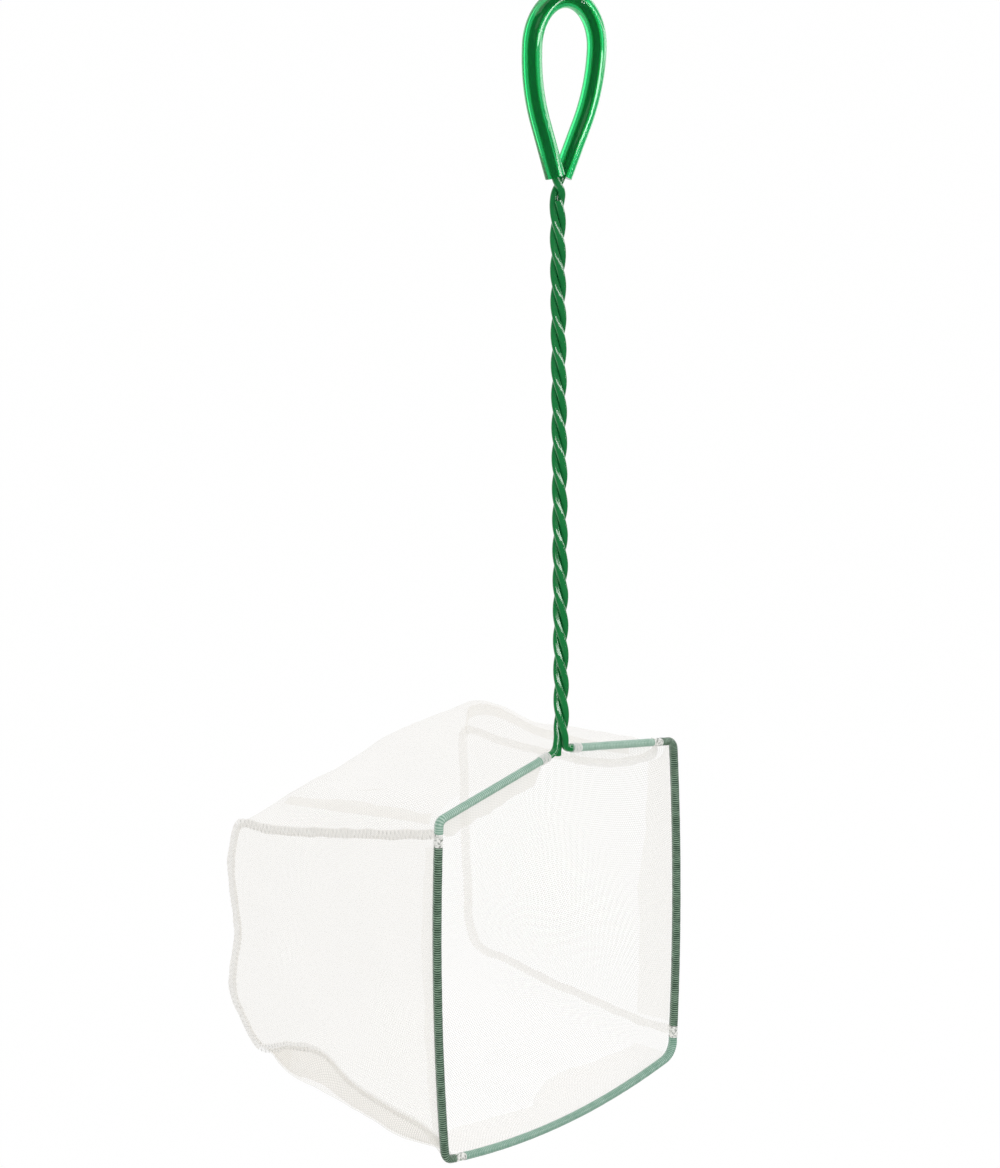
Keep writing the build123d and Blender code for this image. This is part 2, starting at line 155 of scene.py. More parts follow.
# Grip tube: a length of clear green vinyl tube threaded on the wire before the loop was bent.
# It is soft and see-through, so the dark wire shows inside it and its wall glows where light
# comes through; the ends are cut square.
grip_vinyl = material("clear_green_vinyl")
grip_place = add(grip_vinyl, "ShaderNodeTexCoord").outputs["Object"]
grip_wave = add(
    grip_vinyl, "ShaderNodeTexNoise", {"Scale": 1 / (6 * MM), "Detail": 2.0}, {"Vector": grip_place}
)
grip_rub = add(
    grip_vinyl,
    "ShaderNodeMapRange",
    {"From Min": 0.3, "From Max": 0.8, "To Min": 0.03, "To Max": 0.12},
    {"Value": grip_wave.outputs[0]},
)
grip_ripple = add(
    grip_vinyl, "ShaderNodeBump", {"Strength": 0.06, "Distance": 0.2 * MM}, {"Height": grip_wave.outputs[0]}
)
grip_wall = add(
    grip_vinyl,
    "ShaderNodeBsdfPrincipled",
    {"Base Color": linear("#2fc06f"), "IOR": 1.5, "Transmission Weight": 0.88},
    {"Roughness": grip_rub.outputs[0], "Normal": grip_ripple.outputs[0]},
)
add(grip_vinyl, "ShaderNodeOutputMaterial", links={"Surface": grip_wall.outputs[0]})
dress("grip_tube", grip_vinyl)

# Hem: the edge of the bag folded over the hoop and stitched behind it, in five lengths. The
# white mesh is drawn tight over the green wire, so it looks pale green with fine cross ribs.
# The upright lengths get darker thread and gap colours than the top and bottom bars: painted shade, as the
# upright bars face away from the light above.
UPPER, LOWER = -272.74, -399.74  # heights of the hoop's corners, in mm
HALF_MOUTH, NECK_RISE, SIDE_BOW, BOTTOM_BOW = 63.5, 11.5, 2.3, 6.5
NECK_LEFT, NECK_RIGHT = 6.0, 4.0
BENDS = (3.0, 4.0, 6.5, 4.0)  # from the upper left corner down and round to the upper right one
HOOP_STEP = 0.17
BACKWARD = np.array([0, 1, 0])


def bowed(start, end, bow, count=60):
    """Points of a shallow arc, whose middle stands off by the bow to the right of its way."""
    start, end = np.array(start, float), np.array(end, float)
    span = end - start
    off = np.array([span[1], -span[0]]) / np.hypot(*span)
    t = np.linspace(0, 1, count)[:, None]
    return start + span * t + off * (4 * bow * t * (1 - t))


def corner(before, after, radius):
    """The ways back and on from the corner of two bars, half its angle, and how far its bend reaches."""
    a = (before[-2] - after[0]) / np.hypot(*(before[-2] - after[0]))
    b = (after[1] - after[0]) / np.hypot(*(after[1] - after[0]))
    half = math.acos(a @ b) / 2
    return a, b, half, radius / math.tan(half)


def hoop_line():
    """The hoop's centre line in the mouth's plane, its runs, and the runs where each bar starts and ends."""
    top_left, low_left = (-HALF_MOUTH, UPPER), (-HALF_MOUTH, LOWER)
    low_right, top_right = (HALF_MOUTH, LOWER), (HALF_MOUTH, UPPER)
    neck_left = (-NECK_LEFT, UPPER + NECK_RISE * (1 - NECK_LEFT / HALF_MOUTH))
    neck_right = (NECK_RIGHT, UPPER + NECK_RISE * (1 - NECK_RIGHT / HALF_MOUTH))
    bars = [
        bowed(neck_left, top_left, 0),
        bowed(top_left, low_left, SIDE_BOW),
        bowed(low_left, low_right, BOTTOM_BOW),
        bowed(low_right, top_right, SIDE_BOW),
        bowed(top_right, neck_right, 0),
    ]
    pieces = []
    for k, bar in enumerate(bars):
        keep = np.ones(len(bar), bool)
        if k:
            a, b, half, cut = corner(bars[k - 1], bar, BENDS[k - 1])
            middle = bar[0] + (a + b) / np.hypot(*(a + b)) * BENDS[k - 1] / math.sin(half)
            u, v = bar[0] + a * cut - middle, bar[0] + b * cut - middle
            swing = math.pi - 2 * half
            t = np.linspace(0, 1, 24)[1:-1, None]
            pieces.append(middle + (np.sin((1 - t) * swing) * u + np.sin(t * swing) * v) / math.sin(swing))
            keep &= np.hypot(*(bar - bar[0]).T) > cut
        if k < len(BENDS):
            keep &= np.hypot(*(bar - bar[-1]).T) > corner(bar, bars[k + 1], BENDS[k])[3]
        pieces.append(bar[keep])
    line = np.concatenate(pieces)
    runs = np.concatenate([[0], np.cumsum(np.hypot(*np.diff(line, axis=0).T))])
    marks, done = [], 0
    for k, part in enumerate(pieces):
        if k % 2 == 0:
            marks.append((runs[done], runs[done + len(part) - 1]))
        done += len(part)
    even = np.arange(0, runs[-1], HOOP_STEP)
    return np.stack([np.interp(even, runs, line[:, i]) for i in (0, 1)], 1), even, marks


hoop_xz, hoop_run, bar_runs = hoop_line()
hoop_way = np.gradient(hoop_xz, hoop_run, axis=0)
hoop_way /= np.hypot(*hoop_way.T)[:, None]


def hoop_place(k):
    """The hoop's centre at one of its points, and the way outwards across the bar."""
    centre = np.array([hoop_xz[k, 0], 0, hoop_xz[k, 1]])
    return centre, np.array([hoop_way[k, 1], 0, -hoop_way[k, 0]])


def wobble(*place):
    """Smooth noise between about -1 and 1 at a place."""
    return noise.noise(Vector(place))


def grid_object(name, rows, across_uv, along_uv, closed=False):
    """A mesh from rows of points in mm, joined in quads, with its cloth coordinates in mm as its UV map."""
    rows = np.array(rows)
    n, m = rows.shape[:2]
    faces, spots = [], []
    for i in range(n - 1):
        for j in range(m if closed else m - 1):
            k = (j + 1) % m
            faces.append((i * m + j, i * m + k, (i + 1) * m + k, (i + 1) * m + j))
            spots += [(i, j), (i, j + 1), (i + 1, j + 1), (i + 1, j)]
    mesh = bpy.data.meshes.new(name)
    mesh.from_pydata((rows.reshape(-1, 3) * MM).tolist(), [], faces)
    layer = mesh.uv_layers.new(name="cloth")
    layer.data.foreach_set("uv", [c for i, j in spots for c in (across_uv[j], along_uv[i])])
    mesh.polygons.foreach_set("use_smooth", [True] * len(faces))
    made = bpy.data.objects.new(name, mesh)
    bpy.context.scene.collection.objects.link(made)
    return made


HEM_RADIUS = 1.45
RIB_PITCH, RIB_HEIGHT = 0.85, 0.055
RIDGE_HEIGHT, RIDGE_SPREAD = 0.75, 0.18
HEM_SIDES = 24


def hem_tube(name, start, stop, gather):
    """A length of hem between two runs of the hoop: ribbed, with a ridge behind where it is sewn."""
    picked = np.flatnonzero((hoop_run >= start) & (hoop_run <= stop))
    seed = len(name)
    rows = []
    for k in picked:
        s = hoop_run[k]
        centre, side = hoop_place(k)
        rib = RIB_HEIGHT * (0.5 + 0.5 * math.cos(2 * math.pi * s / RIB_PITCH))
        row = []
        for a in np.linspace(0, 2 * math.pi, HEM_SIDES, endpoint=False):
            lump = gather * wobble(s / 2.1, math.cos(a) * 0.8, math.sin(a) * 0.8 + seed)
            ridge = RIDGE_HEIGHT * math.exp(-((a - math.pi / 2) ** 2) / RIDGE_SPREAD)
            r = HEM_RADIUS + rib + lump + ridge
            row.append(centre + (side * math.cos(a) + BACKWARD * math.sin(a)) * r)
        rows.append(row)
    tucked = []
    for row in (rows[0], rows[-1]):
        middle = np.mean(row, axis=0)
        tucked.append([middle + (p - middle) * 0.8 for p in row])
    rows = [tucked[0]] + rows + [tucked[1]]
    run = np.concatenate([[start], hoop_run[picked], [stop]])
    around = np.linspace(0, 2 * math.pi * HEM_RADIUS, HEM_SIDES + 1)
    return grid_object(name, rows, around, run, closed=True)


# Knitted nylon mesh over the wire: white threads every rib, green between them, and a faint gloss.
# At scale 1 the wave texture repeats every 2 pi / 20 units
def hem_material(name, thread_colour, gap_colour):
    """Hem cloth: the colour of its threads, and the colour that shows between them."""
    made = material(name)
    cloth = add(made, "ShaderNodeUVMap", uv_map="cloth").outputs[0]
    ribs = add(
        made,
        "ShaderNodeTexWave",
        {"Scale": 2 * math.pi / 20 / RIB_PITCH, "Distortion": 1.2, "Detail": 2.0, "Detail Scale": 1.5},
        {"Vector": cloth},
        bands_direction="Y",
    )
    patch = add(
        made,
        "ShaderNodeTexNoise",
        {"Scale": 1 / 3.5, "Detail": 4.0, "Roughness": 0.65},
        {"Vector": cloth},
    )
    cover = add(
        made, "ShaderNodeMath", links={0: ribs.outputs["Fac"], 1: patch.outputs[0]}, operation="MULTIPLY"
    )
    share = add(
        made, "ShaderNodeMapRange", {"From Min": 0.08, "From Max": 0.55}, {"Value": cover.outputs[0]}
    )
    tone = add(
        made,
        "ShaderNodeMix",
        {COLOUR_A: linear(gap_colour), COLOUR_B: linear(thread_colour)},
        {"Factor": share.outputs[0]},
        data_type="RGBA",
    )
    relief = add(
        made, "ShaderNodeBump", {"Strength": 0.35, "Distance": 0.1 * MM}, {"Height": ribs.outputs["Fac"]}
    )
    skin = add(
        made,
        "ShaderNodeBsdfPrincipled",
        {
            "Roughness": 0.55,
            "IOR": 1.5,
            "Specular IOR Level": 0.2,
            "Sheen Weight": 0.1,
            "Coat Weight": 0.35,
            "Coat Roughness": 0.2,
        },
        {"Base Color": tone.outputs[COLOUR_OUT], "Normal": relief.outputs[0]},
    )
    add(made, "ShaderNodeOutputMaterial", links={"Surface": skin.outputs[0]})
    return made


upper_hem = hem_material("mesh_close_over_wire", "#bdd6c9", "#7ca691")
lower_hem = hem_material("mesh_drawn_over_wire", "#adcbbc", "#6a9882")
# The upright hems: the same mesh, coloured darker as painted shade
upright_hem_painted_shade = hem_material("mesh_over_wire_painted_shade", "#96b59d", "#0b351d")
SEAM_END = 4.5  # length of the white seam end that follows each hem
seam_runs = [bar_runs[k + 1][0] + past_bend for k, past_bend in enumerate((0.5, 0.5, 0.5, 4.0))]
hem_parts = {
    "hem_top_left": (bar_runs[0][0] + 1, seam_runs[0], upper_hem),
    "hem_left": (seam_runs[0] + SEAM_END, seam_runs[1], upright_hem_painted_shade),
    "hem_bottom": (seam_runs[1] + SEAM_END, seam_runs[2], lower_hem),
    "hem_right": (seam_runs[2] + SEAM_END, seam_runs[3], upright_hem_painted_shade),
    "hem_top_right": (seam_runs[3] + SEAM_END, bar_runs[4][1] - 1, upper_hem),
}
hems = {}
for name, (start, stop, finish) in hem_parts.items():
    hem = hem_tube(name + "_cloth", start, stop, 0.05)
    hem.data.materials.append(finish)
    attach(hem, "frame")
    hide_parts(name)
    hems[name] = hem

# Seam ends: where two panels meet on the hoop, the ends of their seam are bunched round the wire
# and left white. They are lumpy, and the wire darkens them where the folds are thin.
white_cloth = material("white_bunched_mesh")
white_place = add(white_cloth, "ShaderNodeUVMap", uv_map="cloth").outputs[0]
white_weave = add(
    white_cloth,
    "ShaderNodeTexBrick",
    {
        "Color1": (0, 0, 0, 1),
        "Color2": (0, 0, 0, 1),
        "Mortar": (1, 1, 1, 1),
        "Scale": 1.0,
        "Mortar Size": 0.11,
        "Mortar Smooth": 0.6,
        "Brick Width": 0.7,
        "Row Height": 0.6,
    },
    {"Vector": white_place},
)
white_patch = add(
    white_cloth, "ShaderNodeTexNoise", {"Scale": 1 / 1.0, "Detail": 3.0}, {"Vector": white_place}
)
white_share = add(
    white_cloth, "ShaderNodeMapRange", {"From Min": 0.36, "From Max": 0.54}, {"Value": white_patch.outputs[0]}
)
white_tone = add(
    white_cloth,
    "ShaderNodeMix",
    {COLOUR_A: linear("#8b918a"), COLOUR_B: linear("#f7f7f3")},
    {"Factor": white_share.outputs[0]},
    data_type="RGBA",
)
white_relief = add(
    white_cloth,
    "ShaderNodeBump",
    {"Strength": 0.4, "Distance": 0.1 * MM},
    {"Height": white_weave.outputs["Fac"]},
)
white_skin = add(
    white_cloth,
    "ShaderNodeBsdfPrincipled",
    {"Roughness": 0.75, "IOR": 1.5, "Specular IOR Level": 0.2, "Sheen Weight": 0.2},
    {"Base Color": white_tone.outputs[COLOUR_OUT], "Normal": white_relief.outputs[0]},
)
add(white_cloth, "ShaderNodeOutputMaterial", links={"Surface": white_skin.outputs[0]})

OVERLAP = 0.2
for place, start in zip(("top_left", "bottom_left", "bottom_right", "top_right"), seam_runs):
    name = "seam_end_" + place
    bunch = hem_tube(name + "_bunch", start - OVERLAP, start + SEAM_END + OVERLAP, 0.3)
    bunch.data.materials.append(white_cloth)
    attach(bunch, "frame")
    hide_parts(name)

# Neck bindings: white sewing thread wound round each end of the hem beside the stem, with a
# loose end, so that the hem can't slip along the wire.
thread = material("white_polyester_thread")
thread_place = add(thread, "ShaderNodeTexCoord").outputs["Object"]
thread_twist = add(
    thread, "ShaderNodeTexNoise", {"Scale": 1 / (0.25 * MM), "Detail": 2.0}, {"Vector": thread_place}
)
thread_tone = add(
    thread,
    "ShaderNodeMix",
    {COLOUR_A: linear("#ecece8"), COLOUR_B: linear("#fcfcfa")},
    {"Factor": thread_twist.outputs[0]},
    data_type="RGBA",
)
thread_ply = add(
    thread, "ShaderNodeBump", {"Strength": 0.3, "Distance": 0.05 * MM}, {"Height": thread_twist.outputs[0]}
)
thread_skin = add(
    thread,
    "ShaderNodeBsdfPrincipled",
    {"Roughness": 0.5, "IOR": 1.55, "Specular IOR Level": 0.2, "Sheen Weight": 0.15},
    {"Base Color": thread_tone.outputs[COLOUR_OUT], "Normal": thread_ply.outputs[0]},
)
add(thread, "ShaderNodeOutputMaterial", links={"Surface": thread_skin.outputs[0]})


def thread_object(name, points, diameter):
    """Sewing thread along a line of points in mm, as a mesh."""
    curve = bpy.data.curves.new(name, "CURVE")
    curve.dimensions = "3D"
    curve.bevel_depth = diameter / 2 * MM
    curve.bevel_resolution = 1
    curve.use_fill_caps = True
    spline = curve.splines.new("POLY")
    spline.points.add(len(points) - 1)
    spline.points.foreach_set("co", [c for p in points for c in (*(np.array(p) * MM), 1.0)])
    drawn = bpy.data.objects.new(name + "_line", curve)
    mesh = bpy.data.meshes.new_from_object(drawn)
    mesh.name = name
    mesh.polygons.foreach_set("use_smooth", [True] * len(mesh.polygons))
    bpy.data.objects.remove(drawn)
    bpy.data.curves.remove(curve)
    made = bpy.data.objects.new(name, mesh)
    made.data.materials.append(thread)
    bpy.context.scene.collection.objects.link(made)
    return made


BINDING_THREAD, WINDINGS, WINDING_PITCH, WINDING_POINTS = 0.35, 8, 0.55, 20
for name, start, step in (
    ("neck_binding_left", bar_runs[0][0] + 1.2, WINDING_PITCH),
    ("neck_binding_right", bar_runs[4][1] - 1.2, -WINDING_PITCH),
):
    wound = []
    for k in range(WINDINGS * WINDING_POINTS + 1):
        centre, side = hoop_place(int((start + step * k / WINDING_POINTS) / HOOP_STEP))
        a = 2 * math.pi * k / WINDING_POINTS
        ridge = 0.5 * math.exp(-((a % (2 * math.pi) - math.pi / 2) ** 2) / 0.3)
        r = HEM_RADIUS + 0.2 + 0.06 * wobble(k / 9, step, 0) + ridge
        wound.append(centre + (side * math.cos(a) + BACKWARD * math.sin(a)) * r)
    loose = [wound[-1] + np.array([-step * 0.6 * t, -0.4 * t, -1.1 * t * t]) for t in (0.5, 1.0, 1.5, 2.0)]
    binding = thread_object(name + "_thread", wound + loose, BINDING_THREAD)
    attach(binding, "frame")
    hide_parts(name)

# Bag: fine white knitted mesh, cut as one centre strip that runs over the top, down the back and
# along the bottom, and a gusset on each side. The strip turns about 10 mm down the sides, where
# overlocked seams join it to the gussets. The cloth is limp and sags a little between its seams.


def through(points, knots, at):
    """Places on a smooth line through the points, which it passes at the given knots."""
    points, knots, at = np.array(points, float), np.array(knots, float), np.array(at, float)
    slopes = np.gradient(points, knots, axis=0)
    i = np.clip(np.searchsorted(knots, at, "right") - 1, 0, len(knots) - 2)
    gap = (knots[i + 1] - knots[i])[:, None]
    t = (at - knots[i])[:, None] / gap
    return (
        points[i] * (2 * t**3 - 3 * t**2 + 1)
        + points[i + 1] * (3 * t**2 - 2 * t**3)
        + slopes[i] * gap * (t**3 - 2 * t**2 + t)
        + slopes[i + 1] * gap * (t**3 - t**2)
    )


TOP_ROWS, BACK_ROWS, BOTTOM_ROWS, STRIP_COLUMNS = 84, 76, 80, 112
strip_at = np.concatenate(
    [
        np.linspace(0, 1, TOP_ROWS, endpoint=False),
        np.linspace(1, 2, BACK_ROWS, endpoint=False),
        np.linspace(2, 3, BOTTOM_ROWS),
    ]
)


def rail(top, back, bottom):
    """A line along the centre strip: over the top to knot 1, down the back to knot 2, forward to knot 3.

    Its points are in mm: across, back, and up from the hoop's upper corners.
    """
    points, knots = [top[0]], [0.0]
    for part in (top[1:], back, bottom):
        start = round(knots[-1])
        steps = [math.dist(a, b) for a, b in zip([points[-1]] + part[:-1], part)]
        points += part
        knots += list(start + np.cumsum(steps) / sum(steps))
    return through(points, knots, strip_at) + np.array([0, 0, UPPER])


left_seam_line = rail(
    [
        (-63.6, 2, -5), (-64.2, 19, -9), (-64.3, 44, -13.9), (-64.3, 71, -19.3), (-64.3, 88, -22),
        (-64.8, 103.5, -23.7),
    ],
    [
        (-66.8, 105.2, -33.4), (-67.5, 103.3, -68.5), (-69.7, 104.6, -86.2), (-67.5, 101, -99.9),
        (-64.4, 95.9, -110.1),
    ],
    [
        (-65.4, 78, -104.3), (-65.5, 60, -102.6), (-65.6, 46, -109.4), (-65.7, 25, -113.6),
        (-63.5, 7, -118.2), (-58.5, 2, -127.8),
    ],
)
left_fold_line = rail(
    [
        (-62, 2, 0.4), (-62.7, 19, -1.2), (-63.1, 49, -4.7), (-59.1, 75, -9), (-50.5, 93, -14.5),
        (-40.7, 103, -18.7),
    ],
    [(-44, 104.5, -36.7), (-51.4, 103.8, -71.7), (-58.7, 100.5, -98.7), (-60.8, 96.5, -111.8)],
    [(-64, 84, -114.2), (-65.3, 72, -115.6), (-65.6, 46, -117.7), (-65, 20, -121.6), (-55, 2, -128.6)],
)
left_rail = rail(
    [(-31, 2, 5.9), (-31.8, 20, 1.4), (-31.6, 50, -5.4), (-24.2, 80, -11.6), (-17.6, 103, -14.8)],
    [(-20.9, 105, -36.4), (-25.4, 104.5, -71.4), (-29.7, 100.5, -101.4), (-32.8, 97.5, -113.5)],
    [(-33.7, 80, -118.9), (-34.3, 50, -125.6), (-33.7, 20, -129.8), (-30, 2, -132)],
)
middle_rail = rail(
    [(0.5, 4.6, 9.2), (1.1, 25, 3.3), (6.4, 55, -3.4), (11.9, 82, -7.6), (17.5, 103.5, -6.6)],
    [(13.2, 105.5, -31.1), (4.6, 105, -71.1), (-1.8, 101, -101.2), (-3.9, 98, -112.7)],
    [(-3.7, 80, -119.1), (-3.4, 50, -126.3), (-2.8, 20, -131.4), (0, 2, -133.6)],
)
right_rail = rail(
    [(31, 2, 5.8), (32.2, 22, 1.2), (36.5, 55, -3.1), (39.9, 82, -4.8), (42.6, 103.3, -4.2)],
    [(41.2, 105, -25.9), (34.7, 104, -65.9), (28.2, 100.5, -97.9), (26.1, 97.8, -110.9)],
    [(27.3, 80, -116.8), (27.6, 50, -123.9), (28.2, 20, -129.2), (30, 2, -132)],
)
right_fold_line = rail(
    [(48, 2, 2.8), (60.2, 12, -2.8), (61.7, 29, -5.5), (60.6, 60, -6.3), (58.8, 103.5, -6.6)],
    [(52.7, 104.5, -25.8), (48.7, 103, -60.8), (47.4, 101, -85.8), (51.1, 98, -108.7)],
    [(56.7, 80, -113.5), (58.4, 50, -118.7), (59.6, 20, -122.9), (61, 2, -126.8)],
)
right_seam_line = rail(
    [
        (54, 2, 1.7), (61.5, 9, -6.5), (61.8, 26, -13.6), (60.4, 64, -16.5), (59.5, 86, -16.2),
        (58.4, 104.5, -15.2),
    ],
    [(55.7, 102.8, -30.8), (54.3, 101.5, -54.8), (53.4, 99.8, -75.8), (57.3, 97, -105.7)],
    [(58.2, 84, -107.7), (58.7, 65, -110.9), (59.7, 34, -114.1), (61.6, 14, -117), (63.6, 2, -117.4)],
)


def cross_rows(rails, columns):
    """Rows of a sheet through rails that run along it."""
    rows = []
    for stations in zip(*rails):
        steps = [math.dist(a, b) for a, b in zip(stations, stations[1:])]
        knots = np.concatenate([[0], np.cumsum(steps)])
        rows.append(through(stations, knots, np.linspace(0, knots[-1], columns)))
    return np.array(rows)


def crumple(rows, broad, fine, seed, edge=7.0):
    """Move a sheet's points along its normals in broad sags and fine puckers, in mm, less near its edges."""
    along, across = np.gradient(rows, axis=0), np.gradient(rows, axis=1)
    normals = np.cross(across, along)
    normals /= np.linalg.norm(normals, axis=2)[:, :, None]
    n, m = rows.shape[:2]
    moved = rows.copy()
    for i in range(n):
        for j in range(m):
            to_ends = min(i, n - 1 - i) * np.linalg.norm(along[i, j])
            to_sides = min(j, m - 1 - j) * np.linalg.norm(across[i, j])
            fade = min(1.0, to_ends / edge) * min(1.0, to_sides / edge)
            hold = min(1.0, min(to_ends, to_sides) / 1.5)
            here = Vector(rows[i, j]) + Vector((seed * 31.7, seed * 17.3, 0))
            sag = broad * noise.noise(here / 34) + 0.45 * broad * noise.noise(here / 15)
            pucker = fine * (0.5 - abs(noise.noise(here / 7.5))) * (1 - 0.5 * fade)
            moved[i, j] = rows[i, j] + normals[i, j] * (sag * fade + pucker * hold)
    return moved


def patch_rows(front, top, rear, bottom):
    """Rows of a four-sided sheet from its edges: front and rear run downwards, top and bottom run back."""
    u = np.linspace(0, 1, len(front))[:, None, None]
    v = np.linspace(0, 1, len(top))[None, :, None]
    ruled = (1 - v) * front[:, None] + v * rear[:, None] + (1 - u) * top[None] + u * bottom[None]
    corners = (1 - u) * ((1 - v) * front[0] + v * rear[0]) + u * ((1 - v) * front[-1] + v * rear[-1])
    return ruled - corners


def evenly(points, count):
    """A line of points shared out again at even distances."""
    run = np.concatenate([[0], np.cumsum(np.linalg.norm(np.diff(points, axis=0), axis=1))])
    return np.stack([np.interp(np.linspace(0, run[-1], count), run, points[:, i]) for i in range(3)], 1)


def hoop_edge(start, stop, back):
    """The hoop between two runs, moved back to where the cloth leaves the hem."""
    picked = (hoop_run >= start) & (hoop_run <= stop)
    return np.stack([hoop_xz[picked, 0], np.full(picked.sum(), back), hoop_xz[picked, 1]], 1)


def nearest_run(point):
    """The run of the hoop nearest to a point."""
    return hoop_run[np.argmin(np.hypot(hoop_xz[:, 0] - point[0], hoop_xz[:, 1] - point[2]))]


SAG, GUSSET_SAG, PUCKER = 1.6, 1.8, 0.5
strip_rails = [
    left_seam_line,
    left_fold_line,
    left_rail,
    middle_rail,
    right_rail,
    right_fold_line,
    right_seam_line,
]
strip_rows = crumple(cross_rows(strip_rails, STRIP_COLUMNS), SAG, PUCKER, 1)
GUSSET_ROWS, GUSSET_COLUMNS = 96, 84
turn, low = TOP_ROWS, TOP_ROWS + BACK_ROWS
gusset_rows = {}
for side, seam_line, way, seed in (("left", left_seam_line, 1, 2), ("right", right_seam_line, -1, 3)):
    ends = sorted(nearest_run(seam_line[k]) for k in (0, -1))
    front = hoop_edge(*ends, 2.0)[::way]
    front[0], front[-1] = seam_line[0], seam_line[-1]
    rows = patch_rows(
        evenly(front, GUSSET_ROWS),
        evenly(seam_line[: turn + 1], GUSSET_COLUMNS),
        evenly(seam_line[turn : low + 1], GUSSET_ROWS),
        evenly(seam_line[low:][::-1], GUSSET_COLUMNS),
    )
    gusset_rows[side] = crumple(rows, GUSSET_SAG, PUCKER, seed)

# Nylon tricot, white and limp: holes in staggered rows, drawn about 0.9 mm apart, so most of what
# is behind shows through
BAG_KNIT, BAG_PATCH = (0.95, 0.85, 0.13), 12
BAG_TONES, BAG_RELIEF = ("#f5f1ea", "#f9f6f1"), (0.2, 0.1)


def mesh_material(
    name, holes, threads, knit=BAG_KNIT, patch=BAG_PATCH, tones=BAG_TONES, relief=BAG_RELIEF
):
    """Sheer mesh: the shares of light that its holes and its threads stop.

    In mm, knit is how far apart the holes are across and along and the size of the threads, and patch
    is the size of its uneven patches. Relief is the strength and, in mm, the height of the threads.
    """
    made = material(name)
    cloth = add(made, "ShaderNodeUVMap", uv_map="cloth").outputs[0]
    lace = add(
        made,
        "ShaderNodeTexBrick",
        {
            "Color1": (0, 0, 0, 1),
            "Color2": (0, 0, 0, 1),
            "Mortar": (1, 1, 1, 1),
            "Scale": 1.0,
            "Mortar Size": knit[2],
            "Mortar Smooth": 0.5,
            "Brick Width": knit[0],
            "Row Height": knit[1],
        },
        {"Vector": cloth},
    )
    slack = add(made, "ShaderNodeTexNoise", {"Scale": 1 / patch, "Detail": 3.0}, {"Vector": cloth})
    tone = add(
        made,
        "ShaderNodeMix",
        {COLOUR_A: linear(tones[0]), COLOUR_B: linear(tones[1])},
        {"Factor": slack.outputs[0]},
        data_type="RGBA",
    )
    cover = add(
        made, "ShaderNodeMapRange", {"To Min": holes, "To Max": threads}, {"Value": lace.outputs["Fac"]}
    )
    raised = add(
        made,
        "ShaderNodeBump",
        {"Strength": relief[0], "Distance": relief[1] * MM},
        {"Height": lace.outputs["Fac"]},
    )
    skin = add(
        made,
        "ShaderNodeBsdfPrincipled",
        {"Roughness": 0.8, "IOR": 1.5, "Specular IOR Level": 0.2, "Sheen Weight": 0.1},
        {"Base Color": tone.outputs[COLOUR_OUT], "Alpha": cover.outputs[0], "Normal": raised.outputs[0]},
    )
    add(made, "ShaderNodeOutputMaterial", links={"Surface": skin.outputs[0]})
    return made


def cloth_lengths(rows):
    """Mean distances along a sheet, down its rows and across its columns."""
    down = np.linalg.norm(np.diff(rows, axis=0), axis=2).mean(1)
    over = np.linalg.norm(np.diff(rows, axis=1), axis=2).mean(0)
    return np.concatenate([[0], np.cumsum(down)]), np.concatenate([[0], np.cumsum(over)])


bag_mesh = mesh_material("white_nylon_mesh", 0.2, 0.275)
down, over = cloth_lengths(strip_rows)
centre_strip = grid_object("centre_strip", strip_rows, over, down)
centre_strip.data.materials.append(bag_mesh)
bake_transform(centre_strip)
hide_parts("top_panel", "back_panel", "bottom_panel")
for side, rows in gusset_rows.items():
    down, over = cloth_lengths(rows)
    gusset = grid_object(side + "_gusset_cloth", rows, over, down)
    gusset.data.materials.append(bag_mesh)
    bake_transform(gusset)
    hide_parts(side + "_gusset")

# Seams: the edges of strip and gusset laid together and overlocked with white thread, which
# makes a narrow band of several layers that stands out from the sheer mesh. Along the left top
# and the rear left they are bunched and thick; the others are drawn out thin.
SEAM_WIDTH, SEAM_STEP, STITCH = 3.5, 0.5, 0.12
SEAM_LOOK = {"knit": (0.6, 0.55, 0.14), "patch": 5, "tones": ("#f1ede7", "#f9f7f3"), "relief": (0.4, 0.15)}
thick_seam = mesh_material("overlocked_mesh_thick", 0.5, 0.82, **SEAM_LOOK)
thin_seam = mesh_material("overlocked_mesh_thin", 0.2, 0.4, **SEAM_LOOK)
seam_parts = {
    "left_top_seam": (left_seam_line[: turn + 1], (-1, 0, 0.1), thick_seam),
    "rear_left_seam": (left_seam_line[turn : low + 1], (-1, -0.2, 0), thick_seam),
    "left_bottom_seam": (left_seam_line[low:], (-1, 0, -0.1), thin_seam),
    "right_top_seam": (right_seam_line[: turn + 1], (1, 0, 0.1), thin_seam),
    "rear_right_seam": (right_seam_line[turn : low + 1], (0.7, 0.7, 0), thin_seam),
    "right_bottom_seam": (right_seam_line[low:], (1, 0, -0.1), thin_seam),
}
